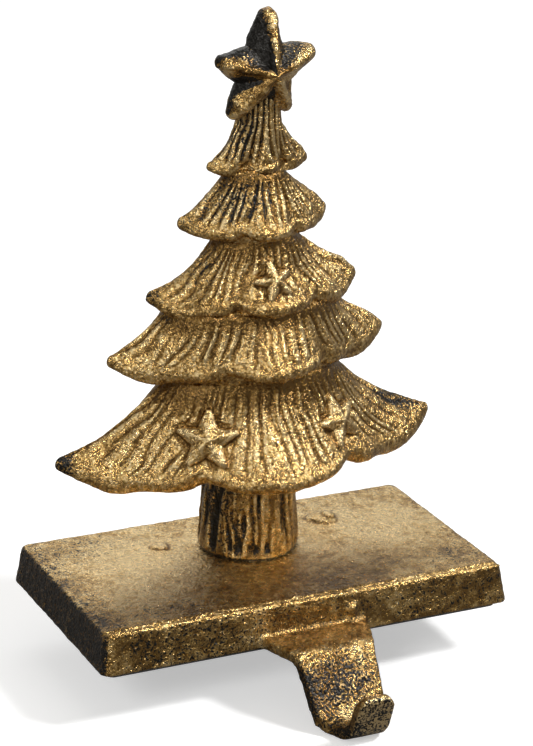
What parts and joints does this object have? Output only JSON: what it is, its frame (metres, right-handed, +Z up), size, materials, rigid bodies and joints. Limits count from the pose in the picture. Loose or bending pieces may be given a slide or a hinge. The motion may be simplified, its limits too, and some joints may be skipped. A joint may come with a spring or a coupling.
{
  "type": "mantel stocking holder",
  "caption": "Cast-iron stocking holder: a star-topped fir tree screwed to a plate that rests on a mantel and carries a forward hook.",
  "frame": {"origin": "centre of the pad's lower face, in the plane of the shelf", "axes": "+Z up along the tree, +X to the right along the plate's long side, -Y towards the hook and the room"},
  "size_m": [0.1344, 0.1182, 0.1989],
  "materials": {
    "antique_gold_iron": "antique gold rubbed over black, grainy",
    "screw_steel": "zinc plated",
    "pad_rubber": "matte"
  },
  "bodies": {
    "root": {"base_plate": "antique_gold_iron", "tree": "antique_gold_iron", "tree_screw": "screw_steel", "screw_washer": "screw_steel", "underside_pad": "pad_rubber"}
  },
  "joints": []
}
